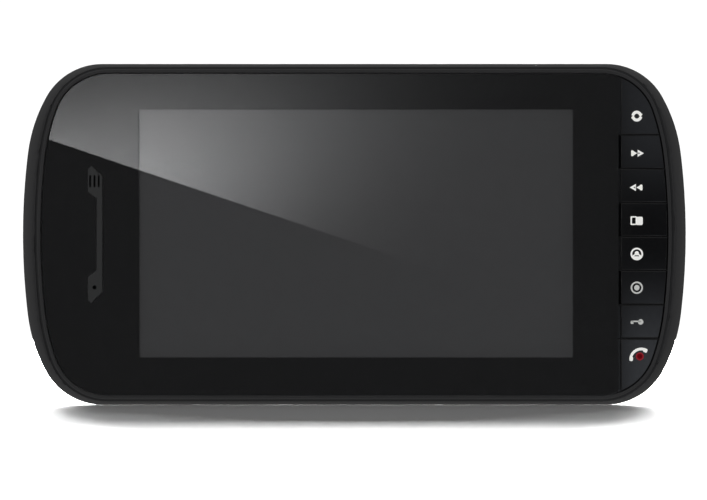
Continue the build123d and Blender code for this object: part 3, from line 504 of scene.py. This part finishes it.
# Handset arching over a red lamp.
arch = disc(1.6, -2.05, 4.25, corners=80, hole=3.3)
trim(trim(arch, 1.6, -2.05, 84), 1.6, -2.05, 154)
ends = [bar(-1.95, -1.75, 1.5, 1.2, turn=96, soft=0.35), bar(3.0, 1.2, 1.4, 1.35, turn=24, soft=0.35)]
print_on("talk", "symbol_talk", 0.55, legend_white, [arch] + ends)
print_on("talk", "symbol_talk_lamp", -0.3, legend_red, [disc(0, 0, 1.4), disc(0, 0, 0.9)], x=1.05)

# ---------------------------------------------------------------- studio
low = cad_box[0]
FLOOR_Z = low.z - 0.1 * MM
FLOOR_SIZE = 2.6
floor_white, tree, place = new_material("studio floor")
end(tree, add(tree, "BsdfDiffuse", {"Color": colour("#f4f4f4")}))
deselect()
bpy.ops.mesh.primitive_plane_add(size=FLOOR_SIZE, location=(0, 0, FLOOR_Z))
floor = bpy.context.object
floor.name = "floor"
floor.data.materials.append(floor_white)
for ray in ("diffuse", "glossy", "transmission"):
    setattr(floor, "visible_" + ray, False)

# The sky is plain white behind the object. Soft light comes from a dim even room, and reflections
# see a paler ring round it, dim in front of the object and black behind it; above and below, the ring
# is brighter by one share, and at the sides darker by the other.
ROOM = 0.11
RING = 0.5
RING_ABOVE, RING_BESIDE = 0.25, -0.15
BACKDROP = 1.1
world = bpy.data.worlds.new("studio room")
bpy.context.scene.world = world
world.use_nodes = True
tree = world.node_tree
tree.nodes.clear()
path = add(tree, "LightPath").outputs
way = add(tree, "TexCoord").outputs["Generated"]
along = add(tree, "SeparateXYZ", {0: way}).outputs["Y"]
squared = add(tree, "VectorMath", {0: way, 1: way}, operation="MULTIPLY")
squares = add(tree, "SeparateXYZ", {0: squared.outputs[0]}).outputs
above = add(tree, "Math", {0: squares["Z"], 1: RING_ABOVE, 2: 1.0}, operation="MULTIPLY_ADD")
shares = add(tree, "Math", {0: squares["X"], 1: RING_BESIDE, 2: above.outputs[0]}, operation="MULTIPLY_ADD")
behind = add(tree, "Math", {0: 1.0, 1: along}, operation="SUBTRACT")
beside = add(tree, "Math", {0: along, 1: RING - ROOM / 2, 2: RING}, operation="MULTIPLY_ADD")
round_it = add(tree, "Math", {0: behind.outputs[0], 1: beside.outputs[0]}, operation="MULTIPLY")
ring_level = add(tree, "Math", {0: round_it.outputs[0], 1: shares.outputs[0]}, operation="MULTIPLY")
even = add(tree, "Background", {"Color": colour("#ffffff"), "Strength": ROOM})
ring = add(tree, "Background", {"Color": colour("#ffffff"), "Strength": ring_level.outputs[0]})
backdrop = add(tree, "Background", {"Color": colour("#ffffff"), "Strength": BACKDROP})
mirrored = add(tree, "MixShader", {0: path["Is Glossy Ray"], 1: even.outputs[0], 2: ring.outputs[0]})
mixed = add(tree, "MixShader", {0: path["Is Camera Ray"], 1: mirrored.outputs[0], 2: backdrop.outputs[0]})
add(tree, "OutputWorld", {"Surface": mixed.outputs[0]})


def soft_lamp(name, where, aim, size, power):
    """Rectangular lamp at one point, facing another, that no reflection shows."""
    lamp = bpy.data.lights.new(name, "AREA")
    lamp.shape = "RECTANGLE"
    lamp.size, lamp.size_y = size
    lamp.energy = power
    holder = bpy.data.objects.new(name, lamp)
    bpy.context.scene.collection.objects.link(holder)
    holder.location = where
    holder.rotation_euler = (Vector(aim) - Vector(where)).to_track_quat("-Z", "Y").to_euler()
    for ray in ("camera", "glossy", "transmission"):
        setattr(holder, "visible_" + ray, False)
    return holder


# Tall soft box behind the object, so that its shadow falls towards the viewer. It lights the floor alone, and
# is brightest at its foot: (width, foot height, head height, brightness) of each of its three panels.
floor_alone = bpy.data.collections.new("lit by the tall soft box")
floor_alone.objects.link(floor)
BOX_PANELS = ((1.49, 0.03, 1.16, 400.0), (0.8, 1.16, 1.85, 200.0), (3.7, 1.85, 2.32, 26.0))
BOX_Y = 3.0
# A lamp's power is this many times its area times its brightness.
POWER_PER_BRIGHTNESS = 4
for number, (wide, foot, head, bright) in enumerate(BOX_PANELS):
    middle = (foot + head) / 2
    size = (wide, head - foot)
    power = POWER_PER_BRIGHTNESS * size[0] * size[1] * bright
    panel = soft_lamp(f"tall soft box {number}", (0, BOX_Y, middle), (0, 0, middle), size, power)
    panel.light_linking.receiver_collection = floor_alone

# Weak fill from in front, low enough to lift the shadow on the floor only a little, and one for the back
# that doesn't reach the floor.
FRONT_FILL_POWER, REAR_FILL_POWER = 60.0, 330.0
soft_lamp("front fill", (-0.5, -3.0, 0.12), (0, 0, 0), (1.2, 0.3), FRONT_FILL_POWER)
rear_fill = soft_lamp("rear fill", (0, 2.6, 1.4), (0, 0, 0), (2.0, 1.0), REAR_FILL_POWER)
all_but_floor = bpy.data.collections.new("lit by the rear fill")
all_but_floor.objects.link(floor)
all_but_floor.collection_objects[0].light_linking.link_state = "EXCLUDE"
rear_fill.light_linking.receiver_collection = all_but_floor


def reflected_card(name, middle, wide, high, material):
    """Upright card that is seen only in reflections."""
    deselect()
    bpy.ops.mesh.primitive_plane_add(size=1.0, rotation=(math.pi / 2, 0, 0))
    piece = bpy.context.object
    piece.name = name
    piece.scale = (wide, high, 1)
    piece.location = middle
    bpy.ops.object.transform_apply(location=True, rotation=True, scale=True)
    piece.data.materials.append(material)
    for ray in ("camera", "diffuse", "shadow", "volume_scatter"):
        setattr(piece, "visible_" + ray, False)
    return piece


# Soft box seen only as a reflection in the lens: its lower edge runs down to the right.
CAMERA_DISTANCE = 1.8
FRONT_Y = low.y
CARD_GAP = 0.5
reach = 1 + CARD_GAP / (CAMERA_DISTANCE + FRONT_Y)
GLARE_SLOPE = math.radians(-18.6)
GLARE_DROP = -1.6 * MM
card_material, tree, place = new_material("soft box")
GLOW_CENTRE = (-133 * MM, -1.3 * MM)
GLOW_LONG, GLOW_SHORT, GLOW_TILT = 62.8 * MM, 25.9 * MM, 0.368
GLOW_STRENGTH = 3.65
# Distances from the glow's middle along its long and short axes, in standard widths.
turned = add(
    tree,
    "Mapping",
    {
        "Vector": place,
        "Location": (GLOW_CENTRE[0] * reach, 0, GLOW_CENTRE[1] * reach),
        "Rotation": (0, -GLOW_TILT, 0),
        "Scale": (GLOW_LONG * reach, 1.0, GLOW_SHORT * reach),
    },
    vector_type="TEXTURE",
)
parts = add(tree, "SeparateXYZ", {0: turned.outputs[0]})
flat = add(tree, "CombineXYZ", {"X": parts.outputs["X"], "Z": parts.outputs["Z"]})
far = add(tree, "VectorMath", {0: flat.outputs[0], 1: flat.outputs[0]}, operation="DOT_PRODUCT")
half = add(tree, "Math", {0: far.outputs["Value"], 1: -0.5}, operation="MULTIPLY")
glow = add(tree, "Math", {0: math.e, 1: half.outputs[0]}, operation="POWER")
level = add(tree, "Math", {0: glow.outputs[0], 1: GLOW_STRENGTH}, operation="MULTIPLY")
light = add(tree, "Emission", {"Strength": level.outputs[0]})
clear = add(tree, "BsdfTransparent")
end(tree, add(tree, "AddShader", {0: light.outputs[0], 1: clear.outputs[0]}))
card = reflected_card("soft_box", (0, FRONT_Y - CARD_GAP, 0), 1.0, 1.0, card_material)
open_edit(card)
bpy.ops.mesh.bisect(
    plane_co=(0, 0, GLARE_DROP * reach),
    plane_no=(-math.sin(GLARE_SLOPE), 0, math.cos(GLARE_SLOPE)),
    clear_inner=True,
)
bpy.ops.object.mode_set(mode="OBJECT")

# Narrow card seen only as a reflection in the keys: pale at its foot, dark in its middle and dim at its head.
KEY_CARD_GAP = 120 * MM
KEY_CARD_LOW, KEY_CARD_HIGH = (101 * MM, -75 * MM), (123 * MM, 75 * MM)
KEY_CARD_DARK, KEY_CARD_FOOT, KEY_CARD_HEAD = 0.05, 1.0, 0.46
key_card_material, tree, place = new_material("key card")
height = add(tree, "SeparateXYZ", {0: place}).outputs["Z"]
foot_glow = add(
    tree,
    "MapRange",
    {
        "Value": height,
        "From Min": -8 * MM,
        "From Max": -48 * MM,
        "To Min": KEY_CARD_DARK,
        "To Max": KEY_CARD_FOOT,
    },
    interpolation_type="SMOOTHSTEP",
)
head_glow = add(
    tree,
    "MapRange",
    {"Value": height, "From Min": 8 * MM, "From Max": 42 * MM, "To Min": 0.0, "To Max": KEY_CARD_HEAD},
    interpolation_type="SMOOTHSTEP",
)
both = add(tree, "Math", {0: foot_glow.outputs[0], 1: head_glow.outputs[0]}, operation="ADD")
end(tree, add(tree, "Emission", {"Color": colour("#eef4ff"), "Strength": both.outputs[0]}))
middle = [(a + b) / 2 for a, b in zip(KEY_CARD_LOW, KEY_CARD_HIGH)]
wide, high = (b - a for a, b in zip(KEY_CARD_LOW, KEY_CARD_HIGH))
card_middle = (middle[0], FRONT_Y - KEY_CARD_GAP, middle[1])
key_card = reflected_card("key_card", card_middle, wide, high, key_card_material)

# ---------------------------------------------------------------- camera
SIDE_STEP, DROP = -0.3 * MM, -5.5 * MM
FOCAL_LENGTH = 258
camera_data = bpy.data.cameras.new("camera")
camera_data.lens = FOCAL_LENGTH
camera = bpy.data.objects.new("camera", camera_data)
bpy.context.scene.collection.objects.link(camera)
camera.location = (SIDE_STEP, -CAMERA_DISTANCE, DROP)
camera.rotation_euler = (math.pi / 2, 0, 0)
bpy.context.scene.camera = camera
bpy.context.scene.view_settings.view_transform = "Standard"

# The lens throws no shadow on what lies under it.
nodes["front_lens"].visible_shadow = False
